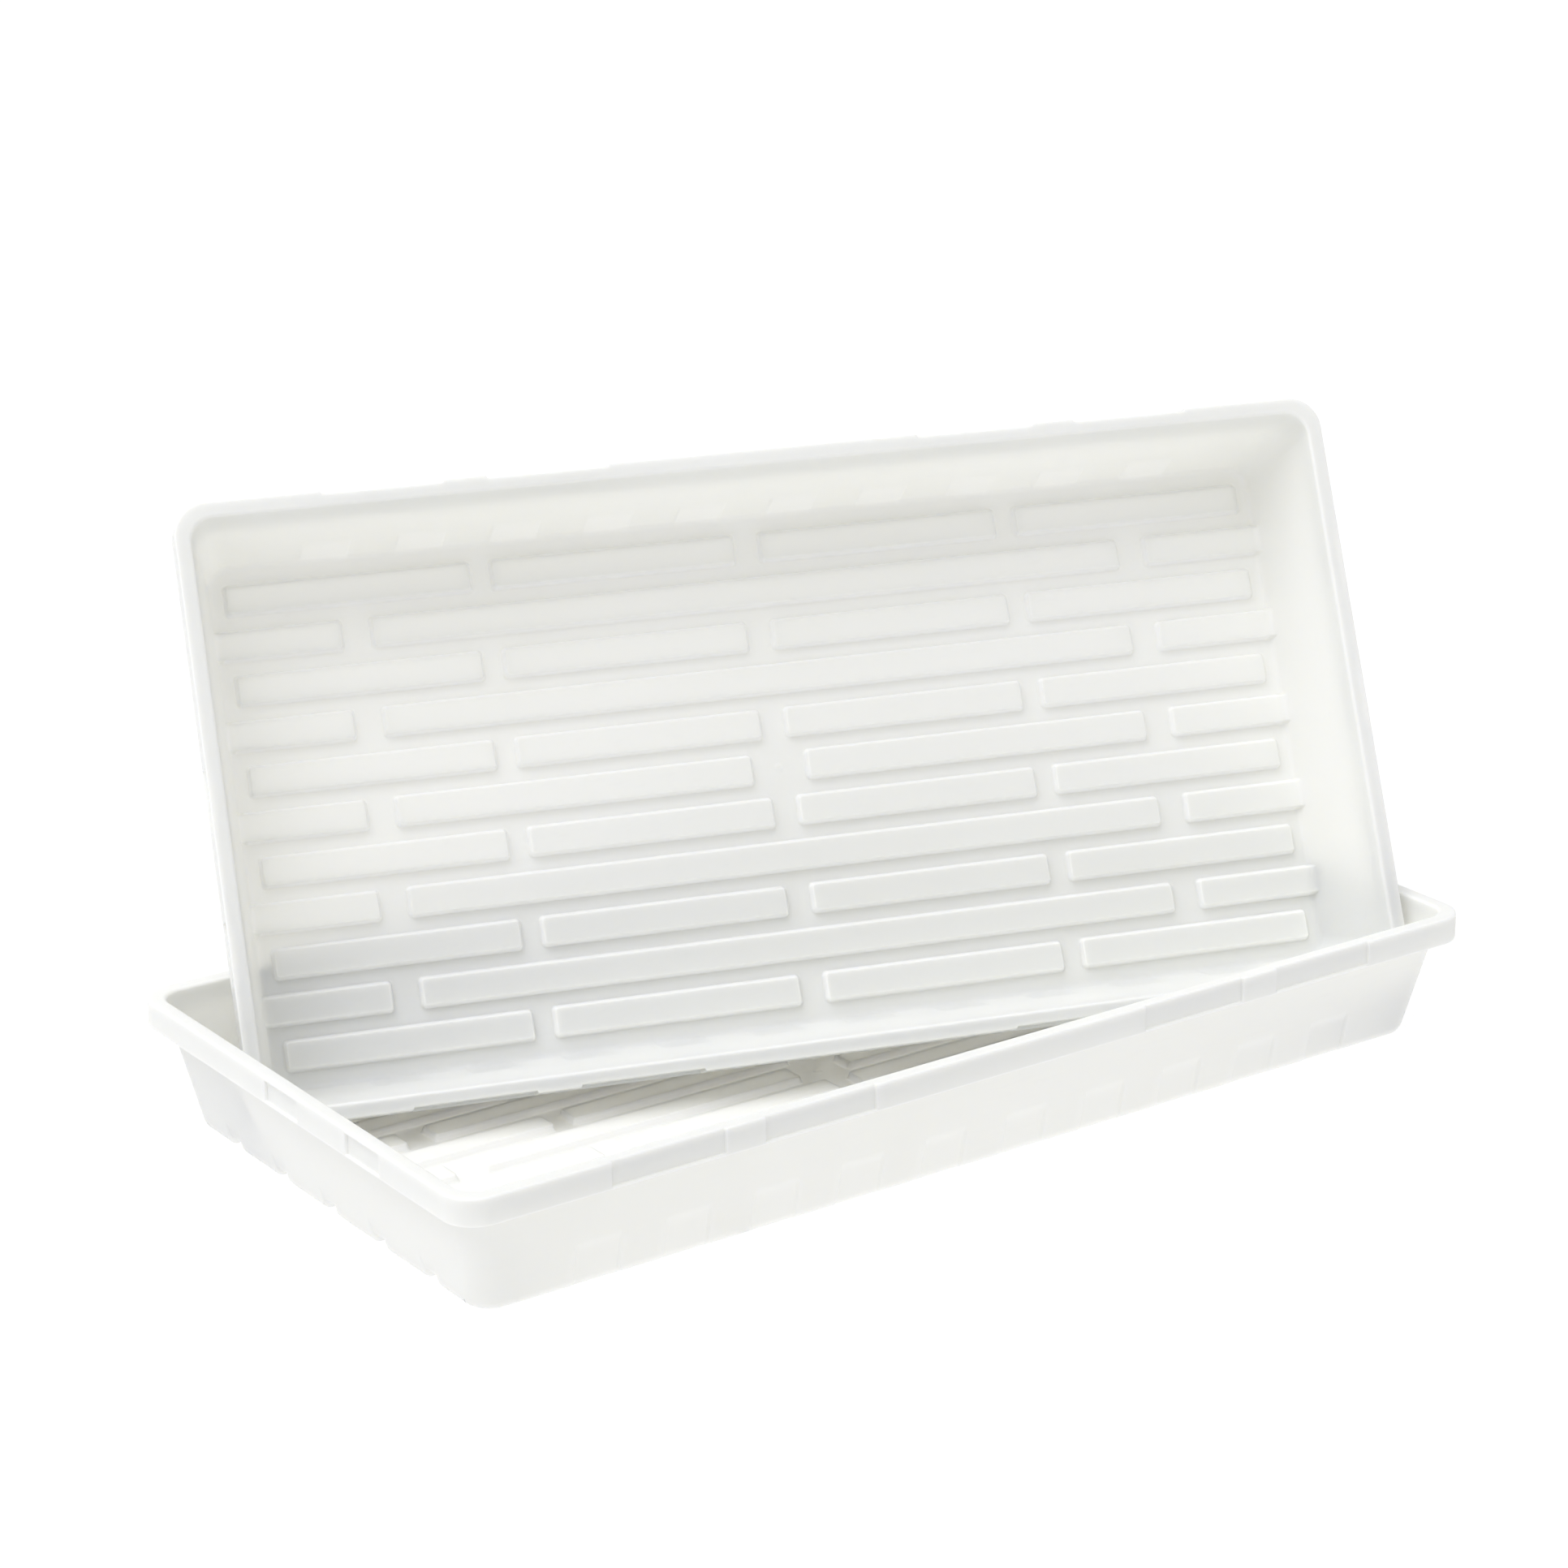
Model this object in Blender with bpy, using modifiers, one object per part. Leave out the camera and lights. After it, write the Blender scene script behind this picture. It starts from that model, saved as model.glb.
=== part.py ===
"""Pair of moulded seedling trays: one lies flat, its twin stands on a long side inside it.

Each tray is one moulding: a channelled floor with raised pads laid like bricks, drafted walls
with shallow flutes at their foot, and a flat rim with a down-turned lip. Metres, +Z up. The
origin is under the middle of the lower tray's floor, on the surface it stands on.
"""

import math

import bmesh
import bpy
from mathutils import Euler, Matrix, Vector

MM = 0.001

# Tray, driving dimensions
LENGTH = 543.0 * MM
WIDTH = 278.0 * MM
HEIGHT = 60.3 * MM
WALL = 1.6 * MM
FLANGE = 7.0 * MM          # rim edge to the top of the inner wall
DRAFT_RUN = 12.0 * MM      # how far a wall leans out from floor to rim
LIP = 12.4 * MM            # depth of the down-turned lip
RIM_RADIUS = 15.0 * MM
WALL_RADIUS = 11.0 * MM
FOOT_ROUND = 3.0 * MM      # round between floor and wall
CORNER_STEPS = 5

# Floor pads: eleven rows, alternately four pads, or one long pad between two end pads
ROWS = 11
ROW_PITCH = 20.85 * MM
PAD_WIDTH = 12.8 * MM
PAD_TOP = 5.0 * MM         # height of a pad's top over the ground
PAD_SPREAD = 0.9 * MM      # how much wider a pad is at its foot, each side
PAD_WALL = 1.3 * MM        # thickness of a pad's sides, over the hollow beneath it
PAD_INNER = (6.45 * MM, 122.0 * MM)
PAD_OUTER = (132.65 * MM, 245.4 * MM)
LONG_PAD_END = 180.9 * MM
END_PAD_START = 195.05 * MM
MIDDLE_SPLIT = 13.5 * MM   # half the gap in the middle row's long pad

# Flutes: shallow hollows at the foot of both long walls
FLUTES = 10
FLUTE_PITCH = 44.2 * MM
FLUTE_WIDTH = 22.0 * MM
FLUTE_HEIGHT = 22.0 * MM
FLUTE_DEPTH = 1.0 * MM

# Panels: shallow recesses in the lip, which leave a thin ledge along its lower edge
PANEL_DEPTH = 1.2 * MM
LEDGE = 1.2 * MM
PANEL_SPANS = ((73.2 * MM, 129.5 * MM), (149.4 * MM, 204.8 * MM))
FRONT_PANEL_SHIFT = 4.0 * MM
END_PANEL_SPANS = ((-74.0 * MM, -47.0 * MM), (-6.0 * MM, 21.0 * MM))
END_PANEL_DROP = 2.0 * MM  # the end panels start below the rim

# How the second tray leans in the first
LEAN_AT = (33.6 * MM, 77.1 * MM, 120.3 * MM)
LEAN_TILT = 62.77
LEAN_RAISE = -0.91
LEAN_TURN = -19.25

WHITE = (0.84, 0.84, 0.80, 1.0)
ROUGHNESS = 0.42
OVERCUT = 3.0 * MM         # how far a cutter stands past the face it opens
POCKET_REACH = 6.0 * MM    # how far the hollow of an end pad runs out under the wall
BITE = 0.8 * MM            # how deep an added block sits in the wall behind it

HALF_X = LENGTH / 2
HALF_Y = WIDTH / 2
FLOOR_X = HALF_X - FLANGE - DRAFT_RUN
FLOOR_Y = HALF_Y - FLANGE - DRAFT_RUN
SLOPE = DRAFT_RUN / (HEIGHT - WALL)


def clear_scene():
    for item in list(bpy.data.objects):
        bpy.data.objects.remove(item, do_unlink=True)


def new_collection(name):
    collection = bpy.data.collections.new(name)
    bpy.context.scene.collection.children.link(collection)
    return collection


def mesh_object(name, bm, collection):
    """Turns a bmesh into an object in the given collection."""
    bmesh.ops.recalc_face_normals(bm, faces=bm.faces)
    mesh = bpy.data.meshes.new(name)
    bm.to_mesh(mesh)
    bm.free()
    item = bpy.data.objects.new(name, mesh)
    collection.objects.link(item)
    return item


def rounded_ring(bm, half_x, half_y, radius, z):
    """Vertices of a rectangle with round corners, anticlockwise from the +X side."""
    ring = []
    for corner, (side_x, side_y) in enumerate(((1, 1), (-1, 1), (-1, -1), (1, -1))):
        for step in range(CORNER_STEPS + 1):
            angle = math.radians(90 * (corner + step / CORNER_STEPS))
            x = side_x * (half_x - radius) + radius * math.cos(angle)
            y = side_y * (half_y - radius) + radius * math.sin(angle)
            ring.append(bm.verts.new((x, y, z)))
    return ring


def shell(collection):
    """Floor, walls, rim and lip: an open sheet along the inside, thickened outwards."""
    inner = FOOT_ROUND * (1 - SLOPE)
    stations = (
        (FLOOR_X - FOOT_ROUND, FLOOR_Y - FOOT_ROUND, WALL_RADIUS - inner, WALL),
        (FLOOR_X + SLOPE * FOOT_ROUND, FLOOR_Y + SLOPE * FOOT_ROUND, WALL_RADIUS, WALL + FOOT_ROUND),
        (HALF_X - FLANGE, HALF_Y - FLANGE, WALL_RADIUS, HEIGHT),
        (HALF_X, HALF_Y, RIM_RADIUS, HEIGHT),
        (HALF_X, HALF_Y, RIM_RADIUS, HEIGHT - LIP),
    )
    bm = bmesh.new()
    rings = [rounded_ring(bm, *station) for station in stations]
    bm.faces.new(rings[0])
    for low, high in zip(rings, rings[1:]):
        count = len(low)
        for i in range(count):
            j = (i + 1) % count
            bm.faces.new((low[i], high[i], high[j], low[j]))
    tray = mesh_object("tray", bm, collection)
    floor_up = tray.data.polygons[0].normal.z > 0
    thick = tray.modifiers.new("thickness", "SOLIDIFY")
    thick.thickness = WALL
    thick.offset = -1 if floor_up else 1
    thick.use_even_offset = True
    return tray


def add_block(bm, low, high, spread=(0, 0, 0, 0)):
    """A box from low to high; spread widens its foot towards -X, +X, -Y and +Y."""
    size = Vector(high) - Vector(low)
    middle = (Vector(high) + Vector(low)) / 2
    place = Matrix.Translation(middle) @ Matrix.Diagonal((*size, 1))
    verts = bmesh.ops.create_cube(bm, size=1, matrix=place)["verts"]
    for vert in verts:
        if vert.co.z < middle.z:
            vert.co.x += spread[1] if vert.co.x > middle.x else -spread[0]
            vert.co.y += spread[3] if vert.co.y > middle.y else -spread[2]


def pad_spans(row):
    """(x0, x1) of each pad in a row; rows are counted from the middle one."""
    if row % 2:
        right = [PAD_INNER, PAD_OUTER]
    elif row:
        return [(-FLOOR_X - BITE, -END_PAD_START), (-LONG_PAD_END, LONG_PAD_END),
                (END_PAD_START, FLOOR_X + BITE)]
    else:
        right = [(MIDDLE_SPLIT, LONG_PAD_END), (END_PAD_START, FLOOR_X + BITE)]
    return right + [(-x1, -x0) for x0, x1 in right]


def pad_blocks(collection, name, inset, bottom, top, reach):
    """All pads as drafted blocks, shrunk by inset; end pads reach this far past the floor."""
    bm = bmesh.new()
    spread = PAD_SPREAD * (top - bottom) / (PAD_TOP - WALL)
    for row in range(-(ROWS // 2), ROWS // 2 + 1):
        y = row * ROW_PITCH
        half = PAD_WIDTH / 2 - inset
        for x0, x1 in pad_spans(row):
            at_left = x0 < -FLOOR_X
            at_right = x1 > FLOOR_X
            low_x = -FLOOR_X - reach if at_left else x0 + inset
            high_x = FLOOR_X + reach if at_right else x1 - inset
            sides = (0 if at_left else spread, 0 if at_right else spread, spread, spread)
            add_block(bm, (low_x, y - half, bottom), (high_x, y + half, top), sides)
    return mesh_object(name, bm, collection)


def flute_prisms(collection, name, face, bottom, away):
    """Wedges along both long walls that lean into the tray from a wall face.

    face is the half width of that face at ground level, bottom the height where a wedge
    starts, and away how far its back stands out past the face.
    """
    bm = bmesh.new()
    for side in (-1, 1):
        for index in range(FLUTES):
            middle = (index - (FLUTES - 1) / 2) * FLUTE_PITCH
            foot_y = face + SLOPE * bottom
            top_y = face + SLOPE * FLUTE_HEIGHT
            outline = ((foot_y - FLUTE_DEPTH, bottom), (foot_y + away, bottom),
                       (top_y + away, FLUTE_HEIGHT), (top_y, FLUTE_HEIGHT))
            start = [bm.verts.new((middle - FLUTE_WIDTH / 2, side * y, z)) for y, z in outline]
            base = bm.faces.new(start)
            grown = bmesh.ops.extrude_face_region(bm, geom=[base])["geom"]
            ends = [part for part in grown if isinstance(part, bmesh.types.BMVert)]
            bmesh.ops.translate(bm, verts=ends, vec=(FLUTE_WIDTH, 0, 0))
    return mesh_object(name, bm, collection)


def panel_places():
    """(side axis, side sign, start, end, top) of every lip panel."""
    places = []
    for x0, x1 in PANEL_SPANS:
        for start, end in ((x0, x1), (-x1, -x0)):
            places.append(("y", 1, start, end, HEIGHT + OVERCUT))
            shifted = (start + FRONT_PANEL_SHIFT, end + FRONT_PANEL_SHIFT)
            places.append(("y", -1, *shifted, HEIGHT + OVERCUT))
    for start, end in END_PANEL_SPANS:
        places.append(("x", -1, start, end, HEIGHT - END_PANEL_DROP))
        places.append(("x", 1, -end, -start, HEIGHT - END_PANEL_DROP))
    return places


def panel_blocks(collection, name, near, far, grow, bottom, top):
    """A block at each lip panel, from near to far measured inwards from the rim's edge."""
    bm = bmesh.new()
    for axis, sign, start, end, panel_top in panel_places():
        rim = HALF_Y if axis == "y" else HALF_X
        a, b = sorted((sign * (rim - near), sign * (rim - far)))
        z1 = min(top, panel_top)
        if axis == "y":
            add_block(bm, (start - grow, a, bottom), (end + grow, b, z1))
        else:
            add_block(bm, (a, start - grow, bottom), (b, end + grow, z1))
    return mesh_object(name, bm, collection)


def combine(target, tool, operation):
    tool.hide_render = True
    tool.display_type = "WIRE"
    step = target.modifiers.new(tool.name, "BOOLEAN")
    step.operation = operation
    step.solver = "EXACT"
    step.object = tool


def tray_mesh(tools):
    """The finished moulding as one mesh."""
    tray = shell(tools)
    outer_face = FLOOR_Y - SLOPE * WALL + WALL * math.hypot(1, SLOPE)
    inner_face = FLOOR_Y - SLOPE * WALL
    ledge_top = HEIGHT - LIP + LEDGE
    combine(tray, pad_blocks(tools, "pads", 0, BITE, PAD_TOP, BITE), "UNION")
    combine(tray, flute_prisms(tools, "flute_backs", inner_face, BITE, BITE), "UNION")
    combine(tray, panel_blocks(tools, "panel_backs", WALL - BITE / 2, WALL + PANEL_DEPTH, WALL,
                               HEIGHT - LIP, HEIGHT - BITE), "UNION")
    combine(tray, pad_blocks(tools, "pockets", PAD_WALL, -OVERCUT, PAD_TOP - WALL, POCKET_REACH),
            "DIFFERENCE")
    combine(tray, flute_prisms(tools, "flute_cuts", outer_face, -OVERCUT, OVERCUT), "DIFFERENCE")
    combine(tray, panel_blocks(tools, "panel_cuts", -OVERCUT, PANEL_DEPTH, 0, ledge_top,
                               HEIGHT + OVERCUT), "DIFFERENCE")
    depsgraph = bpy.context.evaluated_depsgraph_get()
    mesh = bpy.data.meshes.new_from_object(tray.evaluated_get(depsgraph))
    mesh.name = "seedling_tray"
    bpy.data.objects.remove(tray, do_unlink=True)
    return mesh


def plastic(name):
    material = bpy.data.materials.new(name)
    material.use_nodes = True
    shader = material.node_tree.nodes["Principled BSDF"]
    shader.inputs["Base Color"].default_value = WHITE
    shader.inputs["Roughness"].default_value = ROUGHNESS
    shader.inputs["Metallic"].default_value = 0.0
    return material


def place_tray(name, mesh, collection, location=(0, 0, 0), rotation=(0, 0, 0)):
    tray = bpy.data.objects.new(name, mesh)
    tray.location = location
    tray.rotation_euler = Euler([math.radians(angle) for angle in rotation], "XYZ")
    collection.objects.link(tray)
    if not mesh.materials:
        mesh.materials.append(None)
    slot = tray.material_slots[0]
    slot.link = "OBJECT"
    slot.material = plastic(name + "_plastic")
    return tray


def main():
    clear_scene()
    trays = new_collection("seedling_trays")
    tools = new_collection("cutters")
    mesh = tray_mesh(tools)
    place_tray("lower_tray", mesh, trays)
    place_tray("leaning_tray", mesh, trays, LEAN_AT, (LEAN_TILT, LEAN_RAISE, LEAN_TURN))


main()
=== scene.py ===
"""Looks for two moulded seedling trays: one lies flat and its twin stands inside it.

One fine mesh serves both trays. Its floor is a pair of grids, one above and one below, whose
lines gather at the pad edges. Walls, rim and lip are rings that join the two grids.
"""

import math

import bpy
import numpy as np
from mathutils import Euler, Matrix, Vector


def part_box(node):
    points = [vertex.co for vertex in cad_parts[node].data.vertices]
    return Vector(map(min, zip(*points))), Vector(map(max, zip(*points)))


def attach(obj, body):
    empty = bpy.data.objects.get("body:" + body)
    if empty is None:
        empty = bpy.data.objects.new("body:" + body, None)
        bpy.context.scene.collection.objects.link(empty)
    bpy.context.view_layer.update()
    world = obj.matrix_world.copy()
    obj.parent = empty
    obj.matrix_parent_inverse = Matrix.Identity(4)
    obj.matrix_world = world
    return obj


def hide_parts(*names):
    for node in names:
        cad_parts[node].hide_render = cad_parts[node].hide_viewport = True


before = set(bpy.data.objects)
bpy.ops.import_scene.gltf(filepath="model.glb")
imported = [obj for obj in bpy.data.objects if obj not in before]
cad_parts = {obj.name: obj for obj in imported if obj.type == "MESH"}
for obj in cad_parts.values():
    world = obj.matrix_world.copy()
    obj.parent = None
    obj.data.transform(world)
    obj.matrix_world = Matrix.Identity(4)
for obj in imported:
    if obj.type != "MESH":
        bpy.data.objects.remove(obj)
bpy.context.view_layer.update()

MM = 0.001
TRAY_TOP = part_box("lower_tray")[1]

# Tray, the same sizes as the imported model
HALF_X = TRAY_TOP.x
HALF_Y = TRAY_TOP.y
HEIGHT = TRAY_TOP.z
WALL = 1.6 * MM
FLANGE = 7.0 * MM
DRAFT_RUN = 12.0 * MM
LIP = 12.4 * MM
RIM_RADIUS = 15.0 * MM
WALL_RADIUS = 11.0 * MM
FLOOR_X = HALF_X - FLANGE - DRAFT_RUN
FLOOR_Y = HALF_Y - FLANGE - DRAFT_RUN
SLOPE = DRAFT_RUN / (HEIGHT - WALL)

ROWS = 11
ROW_PITCH = 20.85 * MM
PAD_WIDTH = 12.8 * MM
PAD_TOP = 5.0 * MM
PAD_INNER = (6.45 * MM, 122.0 * MM)
PAD_OUTER = (132.65 * MM, 245.4 * MM)
LONG_PAD_END = 180.9 * MM
END_PAD_START = 195.05 * MM
MIDDLE_SPLIT = 13.5 * MM

FLUTES = 10
FLUTE_PITCH = 44.2 * MM
FLUTE_WIDTH = 22.0 * MM
FLUTE_HEIGHT = 22.0 * MM
FLUTE_DEPTH = 1.0 * MM

PANEL_DEPTH = 1.2 * MM
LEDGE = 1.2 * MM
PANEL_SPANS = ((73.2 * MM, 129.5 * MM), (149.4 * MM, 204.8 * MM))
FRONT_PANEL_SHIFT = 4.0 * MM
END_PANEL_SPANS = ((-74.0 * MM, -47.0 * MM), (-6.0 * MM, 21.0 * MM))
END_PANEL_DROP = 2.0 * MM

LEAN_AT = (33.6 * MM, 77.1 * MM, 120.3 * MM)
LEAN_TILT = 62.77
LEAN_RAISE = -0.91
LEAN_TURN = -19.25

# Rounds that only the fine mesh has
PAD_CORNER = 1.6 * MM      # corner radius of a pad, seen from above
PAD_FOOT = 1.2 * MM        # a pad's slope ends this far outside its edge
PAD_EASE = 0.4 * MM        # and starts this far inside it
PAD_WALL = 1.3 * MM
FOOT_ROUND = 3.0 * MM
OUTER_FOOT = 4.5 * MM
RIM_ROUND = 1.4 * MM
EDGE_ROUND = 0.9 * MM
LIP_ROUND = 0.4 * MM
END_HOLLOW = 0.6 * MM      # depth of the short hollow over each notch in an end wall
END_HOLLOW_TOP = 13.0 * MM
FADE = 5.0 * MM            # height over which a flute or hollow runs out
GATE_RADIUS = 2.4 * MM     # moulding mark in the middle of the floor
GATE_HEIGHT = 0.35 * MM

# Grid lines and rings
PAD_EDGE_LINES = np.linspace(-1.7, 1.3, 7) * MM      # places across a pad's edge
PANEL_END_LINES = np.linspace(-0.5, 0.5, 4) * MM
FLUTE_END_LINES = np.linspace(-0.8, 0.8, 4) * MM
CLOSEST = 0.12 * MM
WIDEST = 6.0 * MM
CORNER_LINES = 9
GATE_LINES = 9
BLUR = 0.8 * MM            # width of the step at a panel's end
FLUTE_BLUR = 1.6 * MM
FLUTE_INSIDE = 0.35        # share of a flute's depth that shows on the inner face
LEDGE_PARTS = (1.0, 0.85, 0.5, 0.15, 0.0)    # share of a panel's depth, down over its ledge
PANEL_RINGS = 4
FOOT_STEPS = 5             # these six: steps across each round
RIM_STEPS = 5
EDGE_STEPS = 4
LIP_STEPS = 3
UNDER_STEPS = 3
OUTER_FOOT_STEPS = 7
PAINTED_GLOW_ATTRIBUTE = "painted_glow_mask"         # name of the mesh's vertex attribute, which masks the painted glow on the pads' edges

BORDER = -FOOT_ROUND       # where the floor grids end, measured from the foot of the wall
BORDER_RADIUS = WALL_RADIUS - FOOT_ROUND * (1 + SLOPE)
RIM_EDGE = DRAFT_RUN + FLANGE
OUTER_SHIFT = WALL * math.hypot(1, SLOPE)
WALL_HEIGHTS = np.array([9.5, 11.5, 13.5, 15, 16.5, 18, 19.5, 21, 22.5, 30, 40, 50]) * MM

# Plastic; each range pairs with the share, colour or roughness that it drives
PLASTIC_IOR = 1.49
SCATTER_WEIGHT = 0.9
SCATTER_DEPTH = 6.0 * MM
SCATTER_TINT = (1.0, 0.95, 0.82)
CLOUD_SCALE = 7.0
CLOUD_RANGE = (0.35, 0.65)
CLOUD_DARK = (0.885, 0.888, 0.845, 1)
CLOUD_LIGHT = (0.905, 0.907, 0.868, 1)
STREAK_SCALE = 30.0
STREAK_STRETCH = (1.0, 14.0, 14.0)
STREAK_RANGE = (0.58, 0.72)
STREAK_SHARE = (0.0, 0.35)
STREAK_COLOR = (0.88, 0.878, 0.84, 1)
# Painted highlight: convex edges are lightened in the colour
EDGE_HIGHLIGHT_RANGE = (0.51, 0.56)
EDGE_HIGHLIGHT_SHARE = (0.0, 0.6)
EDGE_HIGHLIGHT_COLOR = (0.97, 0.97, 0.955, 1)
# Painted glow: the pads' edges are lightened in the colour, standing for light shining through
# the plastic
PAINTED_GLOW_COLOR = (0.99, 0.99, 0.98, 1)
GLOSS_SCALE = 45.0
GLOSS_RANGE = (0.3, 0.7)
GLOSS_ROUGHNESS = (0.38, 0.50)
GRAIN_SCALE = 2200.0
GRAIN_STRENGTH = 0.25
GRAIN_DEPTH = 0.03 * MM

# Studio
WHITE = (1.0, 1.0, 1.0, 1)
FLOOR_REACH = 12.0
FLOOR_DROP = 0.2 * MM      # keeps the floor clear of the feet
FLOOR_COLOR = (0.1, 0.1, 0.1, 1)
FLOOR_ROUGHNESS = 0.9
FLOOR_GLOW = 0.92
SKY_STRENGTH = 0.56
KEY_STRENGTH = 2.0
KEY_SPREAD = 56.0
KEY_FROM = (-0.38, 0.05, 0.92)

# Camera
CAMERA_AT = (-1.02376, -1.42904, 0.74434)
CAMERA_TURN = (71.048, 0.481, -35.321)
LENS = 95.69
SENSOR = 36.0


def ease(value):
    """Smooth step from 0 to 1."""
    t = np.clip(value, 0, 1)
    return t * t * (3 - 2 * t)


def window(value, start, end, blur):
    """1 between start and end and 0 outside, with a soft step as wide as blur."""
    return ease((value - start) / blur + 0.5) * ease((end - value) / blur + 0.5)


# Floor -----------------------------------------------------------------------------------

def pad_spans(row):
    """(x0, x1) of each pad in a row; rows are counted from the middle one."""
    beyond = HALF_X
    if row % 2:
        right = [PAD_INNER, PAD_OUTER]
    elif row:
        return [(-beyond, -END_PAD_START), (-LONG_PAD_END, LONG_PAD_END), (END_PAD_START, beyond)]
    else:
        right = [(MIDDLE_SPLIT, LONG_PAD_END), (END_PAD_START, beyond)]
    return right + [(-x1, -x0) for x0, x1 in right]


def pads(x, y, shrink):
    """1 on the pads and 0 in the channels; shrink draws every pad's edge inwards."""
    rise = np.zeros_like(x)
    for row in range(-(ROWS // 2), ROWS // 2 + 1):
        for x0, x1 in pad_spans(row):
            over_x = abs(x - (x0 + x1) / 2) - (x1 - x0) / 2 + PAD_CORNER
            over_y = abs(y - row * ROW_PITCH) - PAD_WIDTH / 2 + PAD_CORNER
            outside = np.hypot(np.maximum(over_x, 0), np.maximum(over_y, 0))
            gap = outside + np.minimum(np.maximum(over_x, over_y), 0) - PAD_CORNER
            slope = ease((PAD_FOOT - gap - shrink) / (PAD_FOOT + PAD_EASE))
            rise = np.maximum(rise, slope)
    return rise


def floor_top(x, y):
    """Height of the floor's upper face."""
    gate = GATE_HEIGHT * ease((GATE_RADIUS - np.hypot(x, y)) / (GATE_RADIUS / 2))
    return WALL + (PAD_TOP - WALL) * pads(x, y, 0) + gate


def painted_glow_mask(x, y):
    """1 round the pads' edges, where the plastic is drawn out and thinned, and 0 on the flats; it
    masks a painted glow that stands for light shining through the plastic there.
    """
    rise = pads(x, y, 0)
    return 4 * rise * (1 - rise)


def floor_under(x, y):
    """Height of the floor's lower face, with a pocket under each pad."""
    return (PAD_TOP - WALL) * pads(x, y, PAD_WALL)


def spread_lines(wanted, half, corner):
    """Sorted grid lines from -half to half through the wanted places, without wide gaps."""
    ends = np.linspace(half - corner, half, CORNER_LINES)
    lines = sorted(line for line in (*wanted, *-ends, *ends) if abs(line) < half - CLOSEST)
    kept = [-half]
    for line in lines + [half]:
        if line - kept[-1] < CLOSEST:
            continue
        count = math.ceil((line - kept[-1]) / WIDEST)
        kept.extend(np.linspace(kept[-1], line, count + 1)[1:])
    return np.array(kept)


def gate_lines():
    return list(np.linspace(-GATE_RADIUS, GATE_RADIUS, GATE_LINES))


def grid_lines():
    """Lines along X and along Y that both floor grids and all the rings share."""
    falls = [(PAD_INNER[0], -1), (PAD_INNER[1], 1), (PAD_OUTER[0], -1), (PAD_OUTER[1], 1),
             (LONG_PAD_END, 1), (END_PAD_START, -1), (MIDDLE_SPLIT, -1)]
    x_lines = gate_lines()
    for place, fall in falls:
        for step in PAD_EDGE_LINES:
            x_lines += [place + fall * step, -place - fall * step]
    for end in np.ravel(PANEL_SPANS):
        for place in (end, -end, end + FRONT_PANEL_SHIFT, -end + FRONT_PANEL_SHIFT):
            x_lines.extend(place + PANEL_END_LINES)
    for middle in flute_middles():
        x_lines.extend(middle - FLUTE_WIDTH / 2 + FLUTE_END_LINES)
        x_lines.extend(middle + FLUTE_WIDTH / 2 + FLUTE_END_LINES)
    y_lines = gate_lines()
    for row in range(-(ROWS // 2), ROWS // 2 + 1):
        for fall in (-1, 1):
            y_lines.extend(row * ROW_PITCH + fall * (PAD_WIDTH / 2 + PAD_EDGE_LINES))
    for end in np.ravel(END_PANEL_SPANS):
        y_lines.extend(end + PANEL_END_LINES)
        y_lines.extend(-end + PANEL_END_LINES)
    return (spread_lines(x_lines, FLOOR_X + BORDER, BORDER_RADIUS),
            spread_lines(y_lines, FLOOR_Y + BORDER, BORDER_RADIUS))


def corner_fractions(x, y):
    """How far each place is into the corner squares, 0 to 1 along X and along Y."""
    in_x = np.clip((abs(x) - FLOOR_X - BORDER) / BORDER_RADIUS + 1, 0, 1)
    in_y = np.clip((abs(y) - FLOOR_Y - BORDER) / BORDER_RADIUS + 1, 0, 1)
    return in_x, in_y


def round_corners(x, y):
    """Draws the corner squares of the grid into quarter discs."""
    in_x, in_y = corner_fractions(x, y)
    pull_x = BORDER_RADIUS * in_x * (1 - np.sqrt(1 - in_y ** 2 / 2))
    pull_y = BORDER_RADIUS * in_y * (1 - np.sqrt(1 - in_x ** 2 / 2))
    return x - np.sign(x) * pull_x, y - np.sign(y) * pull_y


# Walls, rim and lip ----------------------------------------------------------------------

def flute_middles():
    """Where the flutes stand along X."""
    return (np.arange(FLUTES) - (FLUTES - 1) / 2) * FLUTE_PITCH


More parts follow.
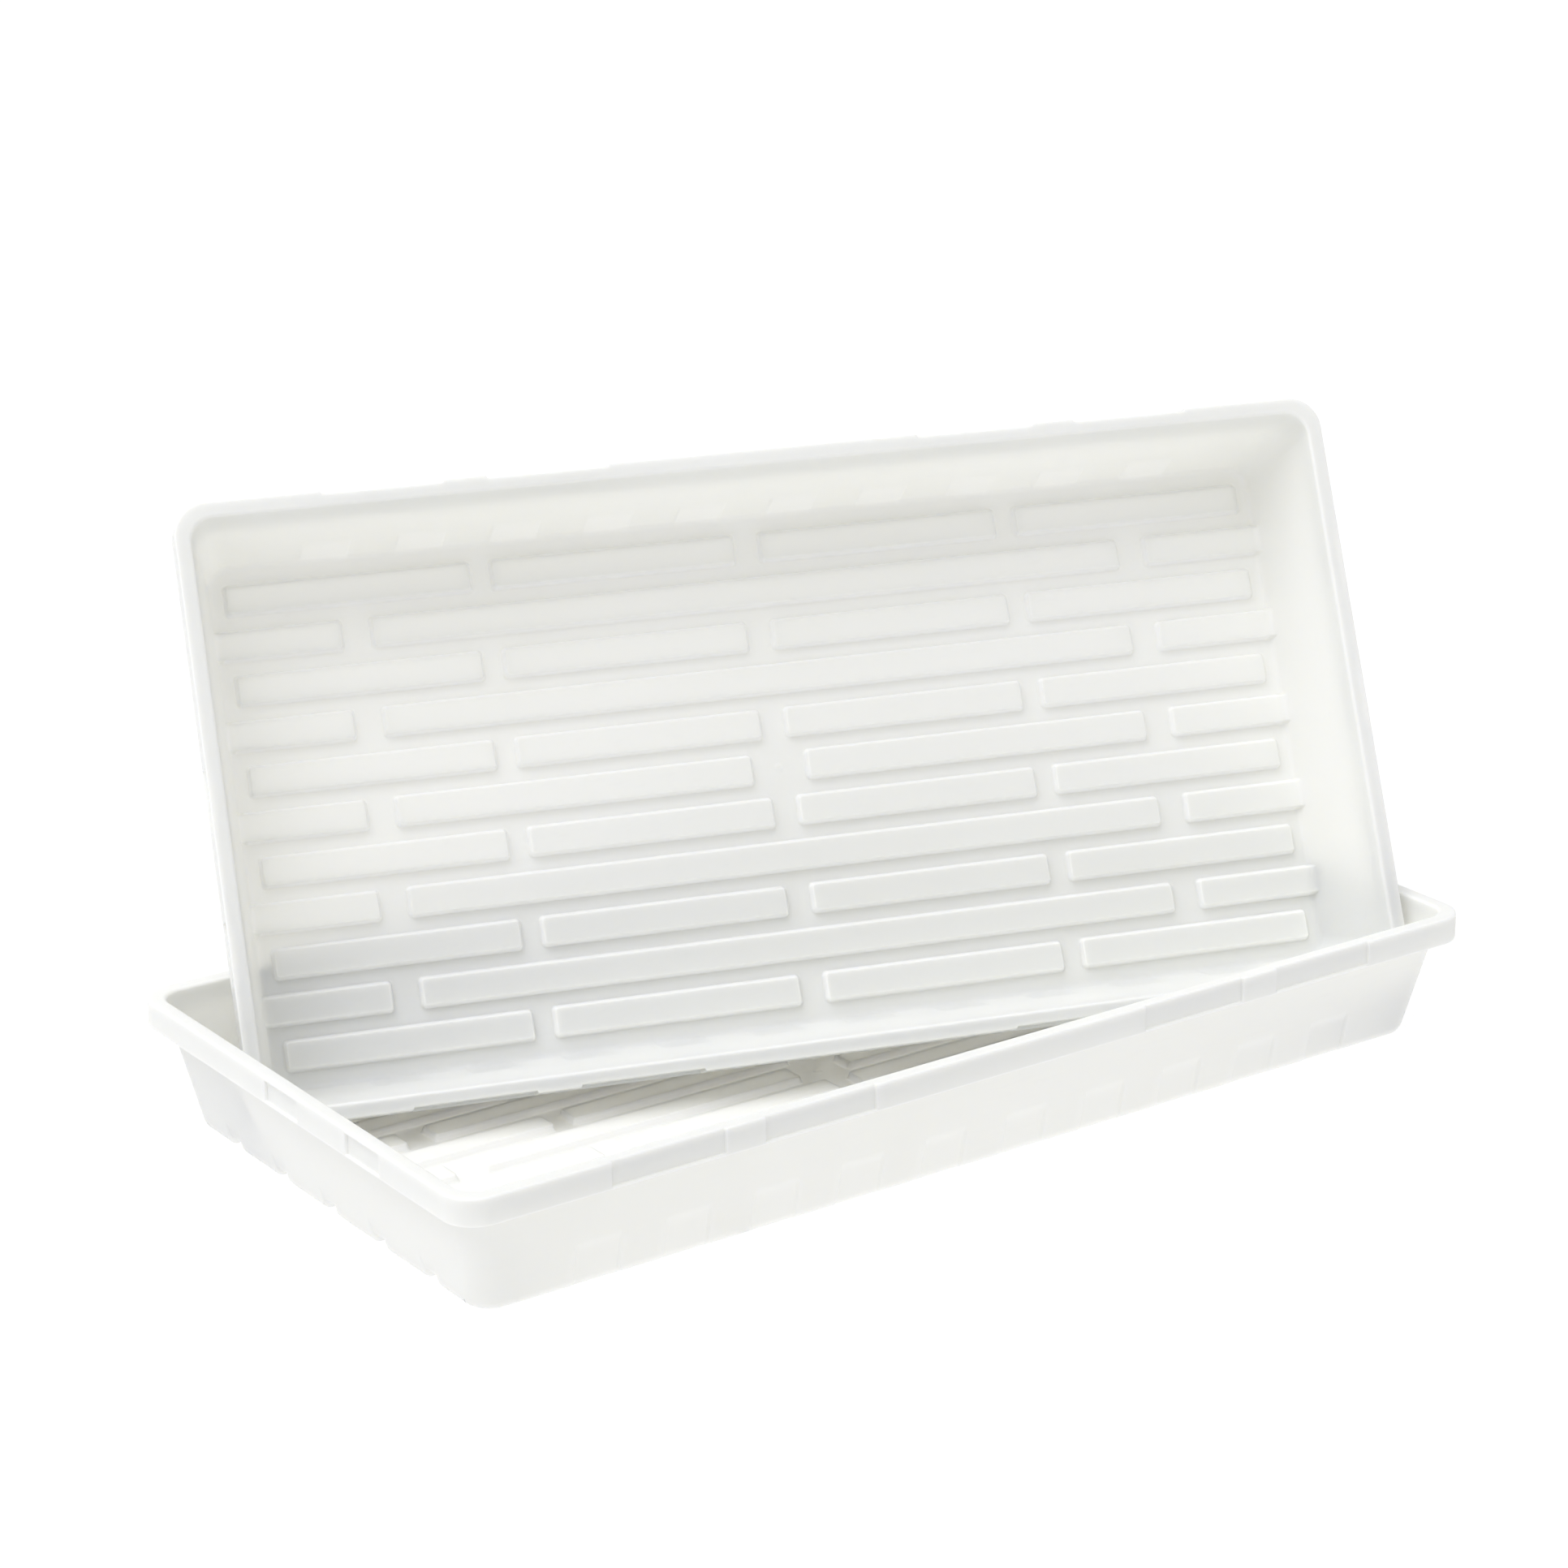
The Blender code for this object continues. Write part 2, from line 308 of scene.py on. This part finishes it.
class Columns:
    """The places round the border of the floor grids, anticlockwise, and what stands there."""

    def __init__(self, x, y):
        in_x, in_y = corner_fractions(x, y)
        self.x = x
        self.y = y
        self.in_x = in_x
        self.in_y = in_y
        self.out_x = np.sign(x) * in_x * np.sqrt(1 - in_y ** 2 / 2)
        self.out_y = np.sign(y) * in_y * np.sqrt(1 - in_x ** 2 / 2)
        long_side = in_x <= 0
        end_side = in_y <= 0
        self.flute = long_side * sum(
            window(x, middle - FLUTE_WIDTH / 2, middle + FLUTE_WIDTH / 2, FLUTE_BLUR)
            for middle in flute_middles())
        self.hollow = end_side * floor_under(x, y) / (PAD_TOP - WALL)
        self.side_panel = long_side * self.panels(x, y)
        along = y * -np.sign(x)
        self.end_panel = end_side * sum(
            window(along, start, end, BLUR) for start, end in END_PANEL_SPANS)

    @staticmethod
    def panels(x, y):
        """1 in the recessed panels of the long sides' lip."""
        shifted = x - np.where(y < 0, FRONT_PANEL_SHIFT, 0)
        return sum(window(abs(shifted), start, end, BLUR) for start, end in PANEL_SPANS)

    def ring(self, extent, radius, height, inward):
        """Points of one ring; extent is how far its straight sides stand past the floor."""
        base_x = np.where(self.in_x > 0, FLOOR_X + extent - radius, abs(self.x))
        base_y = np.where(self.in_y > 0, FLOOR_Y + extent - radius, abs(self.y))
        points = np.empty((len(self.x), 3))
        points[:, 0] = np.sign(self.x) * base_x + (radius - inward) * self.out_x
        points[:, 1] = np.sign(self.y) * base_y + (radius - inward) * self.out_y
        points[:, 2] = height
        return points


def wall_at(height):
    """Extent of the inner wall face at a height."""
    return SLOPE * (height - WALL)


def upper_radius(extent):
    """Corner radius of an upper ring."""
    foot = SLOPE * FOOT_ROUND
    return np.interp(extent, (BORDER, foot, DRAFT_RUN, RIM_EDGE),
                     (BORDER_RADIUS, WALL_RADIUS, WALL_RADIUS, RIM_RADIUS))


def under_radius(extent):
    """Corner radius of an under ring."""
    return np.interp(extent, (BORDER, WALL, DRAFT_RUN + WALL, RIM_EDGE - WALL),
                     (BORDER_RADIUS, WALL_RADIUS + WALL, WALL_RADIUS + WALL, RIM_RADIUS - WALL))


def bend(start, corner, end, steps):
    """(fraction, extent, height) along a round from start to end that is drawn to corner."""
    for t in np.linspace(0, 1, steps + 1):
        weights = ((1 - t) ** 2, 2 * t * (1 - t), t * t)
        extent, height = (sum(w * p[axis] for w, p in zip(weights, (start, corner, end)))
                          for axis in (0, 1))
        yield t, extent, height


def upper_rings(columns, start):
    """Rings from the border of the upper grid up the inside, over the rim, down the lip."""
    rings = []

    def add(extent, height, inward=0.0):
        rings.append(columns.ring(extent, upper_radius(extent), height, inward))

    foot = start + FOOT_ROUND
    for t, extent, height in bend((BORDER, start), (wall_at(start), start),
                                  (wall_at(foot), foot), FOOT_STEPS):
        if t > 0:
            add(extent, height, columns.flute * FLUTE_DEPTH * FLUTE_INSIDE * t)
    for height in WALL_HEIGHTS:
        fade = ease((FLUTE_HEIGHT - height) / FADE)
        add(wall_at(height), height, columns.flute * FLUTE_DEPTH * FLUTE_INSIDE * fade)
    below = HEIGHT - RIM_ROUND
    for _, extent, height in bend((wall_at(below), below), (DRAFT_RUN, HEIGHT),
                                  (DRAFT_RUN + RIM_ROUND, HEIGHT), RIM_STEPS):
        add(extent, height)
    add(DRAFT_RUN + FLANGE / 2, HEIGHT)
    open_panel = columns.side_panel * PANEL_DEPTH
    for _, extent, height in bend((RIM_EDGE - EDGE_ROUND, HEIGHT), (RIM_EDGE, HEIGHT),
                                  (RIM_EDGE, HEIGHT - EDGE_ROUND), EDGE_STEPS):
        add(extent, height, open_panel)
    panel = open_panel + columns.end_panel * PANEL_DEPTH
    drop = HEIGHT - END_PANEL_DROP
    add(RIM_EDGE, drop + BLUR / 2, open_panel)
    add(RIM_EDGE, drop, (open_panel + panel) / 2)
    add(RIM_EDGE, drop - BLUR / 2, panel)
    ledge = HEIGHT - LIP + LEDGE
    for height in np.linspace(drop - BLUR, ledge + BLUR, PANEL_RINGS):
        add(RIM_EDGE, height, panel)
    for part in LEDGE_PARTS:
        add(RIM_EDGE, ledge + BLUR / 2 * (part - 0.5), panel * part)
    bottom = HEIGHT - LIP
    for _, extent, height in bend((RIM_EDGE, bottom + LIP_ROUND), (RIM_EDGE, bottom),
                                  (RIM_EDGE - LIP_ROUND, bottom), LIP_STEPS):
        add(extent, height)
    return rings


def under_rings(columns, start):
    """Rings from the lip's lower edge up its back, under the rim, down to the lower grid."""
    rings = []

    def add(extent, height, inward=0.0):
        rings.append(columns.ring(extent, under_radius(extent), height, inward))

    bottom = HEIGHT - LIP
    back = RIM_EDGE - WALL
    behind = (columns.side_panel + columns.end_panel) * PANEL_DEPTH
    for _, extent, height in bend((back + LIP_ROUND, bottom), (back, bottom),
                                  (back, bottom + LIP_ROUND), LIP_STEPS):
        add(extent, height, behind)
    ceiling = HEIGHT - WALL
    for _, extent, height in bend((back, ceiling - EDGE_ROUND), (back, ceiling),
                                  (back - EDGE_ROUND, ceiling), UNDER_STEPS):
        add(extent, height, behind)
    top = wall_at(ceiling) + OUTER_SHIFT
    below = ceiling - EDGE_ROUND
    for _, extent, height in bend((top + EDGE_ROUND, ceiling), (top, ceiling),
                                  (wall_at(below) + OUTER_SHIFT, below), UNDER_STEPS):
        add(extent, height)

    def hollows(height):
        """How far the outer face is drawn in at a height, by flutes and end hollows."""
        flute = columns.flute * FLUTE_DEPTH * ease((FLUTE_HEIGHT - height) / FADE)
        return flute + columns.hollow * END_HOLLOW * ease((END_HOLLOW_TOP - height) / FADE)

    for height in WALL_HEIGHTS[::-1]:
        add(wall_at(height) + OUTER_SHIFT, height, hollows(height))
    foot = start + OUTER_FOOT
    for t, extent, height in bend((wall_at(foot) + OUTER_SHIFT, foot),
                                  (wall_at(start) + OUTER_SHIFT, start),
                                  (BORDER + OUTER_SHIFT - WALL, start), OUTER_FOOT_STEPS):
        if t < 1:
            add(extent, height, hollows(height) * (1 - t))
    return rings


# Mesh ------------------------------------------------------------------------------------

def border_order(count_x, count_y):
    """Grid indices round the border, anticlockwise from the -X -Y corner."""
    index = np.arange(count_x * count_y).reshape(count_y, count_x)
    return np.concatenate((index[0, :-1], index[:-1, -1], index[-1, :0:-1], index[:0:-1, 0]))


def grid_faces(count_x, count_y, first, upwards):
    """Faces of one floor grid, whose points start at index first."""
    index = np.arange(count_x * count_y).reshape(count_y, count_x) + first
    corners = (index[:-1, :-1], index[:-1, 1:], index[1:, 1:], index[1:, :-1])
    faces = np.stack([corner.ravel() for corner in corners], axis=1)
    return faces if upwards else faces[:, ::-1]


def tray_mesh():
    """The whole tray as one closed surface of four-sided faces."""
    x_lines, y_lines = grid_lines()
    grid_x, grid_y = (part.ravel() for part in np.meshgrid(x_lines, y_lines))
    border = border_order(len(x_lines), len(y_lines))
    columns = Columns(grid_x[border], grid_y[border])
    x, y = round_corners(grid_x, grid_y)
    above = np.stack((x, y, floor_top(x, y)), axis=1)
    below = np.stack((x, y, floor_under(x, y)), axis=1)
    rings = upper_rings(columns, above[border, 2]) + under_rings(columns, below[border, 2])
    count = len(border)
    ring_first = len(above)
    below_first = ring_first + count * len(rings)
    loops = [border]
    loops += [ring_first + count * k + np.arange(count) for k in range(len(rings))]
    loops += [below_first + border]
    faces = [grid_faces(len(x_lines), len(y_lines), 0, True),
             grid_faces(len(x_lines), len(y_lines), below_first, False)]
    for inner, outer in zip(loops, loops[1:]):
        faces.append(np.stack((inner, outer, np.roll(outer, -1), np.roll(inner, -1)), axis=1))
    mesh = bpy.data.meshes.new("seedling_tray")
    mesh.from_pydata(np.concatenate((above, *rings, below)).tolist(), [],
                     np.concatenate(faces).tolist())
    # Mask for the painted glow on the pads' edges
    glow_mask = np.zeros(len(mesh.vertices), dtype=np.float32)
    glow_mask[:len(above)] = painted_glow_mask(grid_x, grid_y)
    mesh.attributes.new(PAINTED_GLOW_ATTRIBUTE, "FLOAT", "POINT").data.foreach_set("value", glow_mask)
    mesh.shade_smooth()
    return mesh


# Material --------------------------------------------------------------------------------

def ramp(tree, value, span, result=(0.0, 1.0)):
    """Maps a span of values evenly to a span of results."""
    node = tree.nodes.new("ShaderNodeMapRange")
    node.inputs["From Min"].default_value = span[0]
    node.inputs["From Max"].default_value = span[1]
    node.inputs["To Min"].default_value = result[0]
    node.inputs["To Max"].default_value = result[1]
    tree.links.new(value, node.inputs["Value"])
    return node.outputs["Result"]


def noise(tree, coordinates, scale, detail):
    """A noise pattern's level, 0 to 1."""
    node = tree.nodes.new("ShaderNodeTexNoise")
    node.inputs["Scale"].default_value = scale
    node.inputs["Detail"].default_value = detail
    tree.links.new(coordinates, node.inputs["Vector"])
    return node.outputs["Fac"]


def mapping(tree, coordinates, setting, value):
    """Coordinates with one setting of a mapping node applied."""
    node = tree.nodes.new("ShaderNodeMapping")
    node.inputs[setting].default_value = value
    tree.links.new(coordinates, node.inputs["Vector"])
    return node.outputs["Vector"]


def blend_colors(tree, factor, first, second):
    """Mixes two colours, each a value or another node's output."""
    node = tree.nodes.new("ShaderNodeMix")
    node.data_type = "RGBA"
    tree.links.new(factor, node.inputs["Factor"])
    for socket, color in ((node.inputs["A"], first), (node.inputs["B"], second)):
        if isinstance(color, tuple):
            socket.default_value = color
        else:
            tree.links.new(color, socket)
    return node.outputs["Result"]


def tray_plastic(name, offset):
    """Satin white plastic: faint clouding, flow streaks and a fine grain, with painted highlights
    on convex edges and a painted glow along the pads' edges.
    """
    material = bpy.data.materials.new(name)
    material.use_nodes = True
    tree = material.node_tree
    shader = tree.nodes["Principled BSDF"]
    shader.inputs["IOR"].default_value = PLASTIC_IOR
    shader.inputs["Subsurface Weight"].default_value = SCATTER_WEIGHT
    shader.inputs["Subsurface Radius"].default_value = SCATTER_TINT
    shader.inputs["Subsurface Scale"].default_value = SCATTER_DEPTH
    place = tree.nodes.new("ShaderNodeTexCoord").outputs["Object"]
    place = mapping(tree, place, "Location", offset)
    along = mapping(tree, place, "Scale", STREAK_STRETCH)

    clouds = ramp(tree, noise(tree, place, CLOUD_SCALE, detail=2.0), CLOUD_RANGE)
    color = blend_colors(tree, clouds, CLOUD_DARK, CLOUD_LIGHT)
    streaks = noise(tree, along, STREAK_SCALE, detail=3.0)
    streaks = ramp(tree, streaks, STREAK_RANGE, STREAK_SHARE)
    color = blend_colors(tree, streaks, color, STREAK_COLOR)
    # Painted highlight: the colour is lightened on convex edges, found by pointiness
    pointiness = tree.nodes.new("ShaderNodeNewGeometry").outputs["Pointiness"]
    color = blend_colors(tree, ramp(tree, pointiness, EDGE_HIGHLIGHT_RANGE, EDGE_HIGHLIGHT_SHARE), color, EDGE_HIGHLIGHT_COLOR)
    # Painted glow on the pads' edges, standing for light shining through the plastic
    glow_mask = tree.nodes.new("ShaderNodeAttribute")
    glow_mask.attribute_name = PAINTED_GLOW_ATTRIBUTE
    color = blend_colors(tree, glow_mask.outputs["Fac"], color, PAINTED_GLOW_COLOR)
    tree.links.new(color, shader.inputs["Base Color"])

    gloss = noise(tree, place, GLOSS_SCALE, detail=4.0)
    gloss = ramp(tree, gloss, GLOSS_RANGE, GLOSS_ROUGHNESS)
    tree.links.new(gloss, shader.inputs["Roughness"])
    grain = tree.nodes.new("ShaderNodeBump")
    grain.inputs["Strength"].default_value = GRAIN_STRENGTH
    grain.inputs["Distance"].default_value = GRAIN_DEPTH
    tree.links.new(noise(tree, place, GRAIN_SCALE, detail=2.0), grain.inputs["Height"])
    tree.links.new(grain.outputs["Normal"], shader.inputs["Normal"])
    return material


# Scene -----------------------------------------------------------------------------------

def add_tray(name, mesh, matrix, offset):
    """One tray; offset shifts its pattern so that the two trays' marks differ."""
    mesh.transform(matrix)
    mesh.materials.append(tray_plastic(name + "_satin", offset))
    tray = bpy.data.objects.new(name + "_moulding", mesh)
    bpy.context.scene.collection.objects.link(tray)
    normals = tray.modifiers.new("normals", "WEIGHTED_NORMAL")
    normals.keep_sharp = False
    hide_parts(name)
    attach(tray, name)


def add_trays():
    mesh = tray_mesh()
    spare = mesh.copy()
    turn = Euler([math.radians(angle) for angle in (LEAN_TILT, LEAN_RAISE, LEAN_TURN)], "XYZ")
    leaning = Matrix.Translation(LEAN_AT) @ turn.to_matrix().to_4x4()
    add_tray("lower_tray", mesh, Matrix.Identity(4), (0.0, 0.0, 0.0))
    add_tray("leaning_tray", spare, leaning, (3.1, 1.7, 5.3))


def add_floor():
    """A plain pale floor that glows a little, so that shadows on it stay faint."""
    mesh = bpy.data.meshes.new("floor")
    signs = ((-1, -1), (1, -1), (1, 1), (-1, 1))
    corners = [(x * FLOOR_REACH, y * FLOOR_REACH, 0) for x, y in signs]
    mesh.from_pydata(corners, [], [(0, 1, 2, 3)])
    floor = bpy.data.objects.new("floor", mesh)
    floor.location.z = -FLOOR_DROP
    bpy.context.scene.collection.objects.link(floor)
    material = bpy.data.materials.new("pale_floor")
    material.use_nodes = True
    shader = material.node_tree.nodes["Principled BSDF"]
    shader.inputs["Base Color"].default_value = FLOOR_COLOR
    shader.inputs["Roughness"].default_value = FLOOR_ROUGHNESS
    shader.inputs["Emission Color"].default_value = WHITE
    shader.inputs["Emission Strength"].default_value = FLOOR_GLOW
    mesh.materials.append(material)


def add_light():
    """An even white sky and one broad key from above, a little to the left."""
    world = bpy.data.worlds.new("studio")
    world.use_nodes = True
    background = world.node_tree.nodes["Background"]
    background.inputs["Color"].default_value = WHITE
    background.inputs["Strength"].default_value = SKY_STRENGTH
    bpy.context.scene.world = world
    key = bpy.data.lights.new("key", "SUN")
    key.energy = KEY_STRENGTH
    key.angle = math.radians(KEY_SPREAD)
    lamp = bpy.data.objects.new("key", key)
    lamp.rotation_euler = Vector(KEY_FROM).to_track_quat("Z", "Y").to_euler()
    bpy.context.scene.collection.objects.link(lamp)


def add_camera():
    lens = bpy.data.cameras.new("camera")
    lens.lens = LENS
    lens.sensor_width = SENSOR
    camera = bpy.data.objects.new("camera", lens)
    camera.location = CAMERA_AT
    camera.rotation_euler = [math.radians(angle) for angle in CAMERA_TURN]
    bpy.context.scene.collection.objects.link(camera)
    bpy.context.scene.camera = camera
    bpy.context.scene.view_settings.view_transform = "Standard"


add_trays()
add_floor()
add_light()
add_camera()
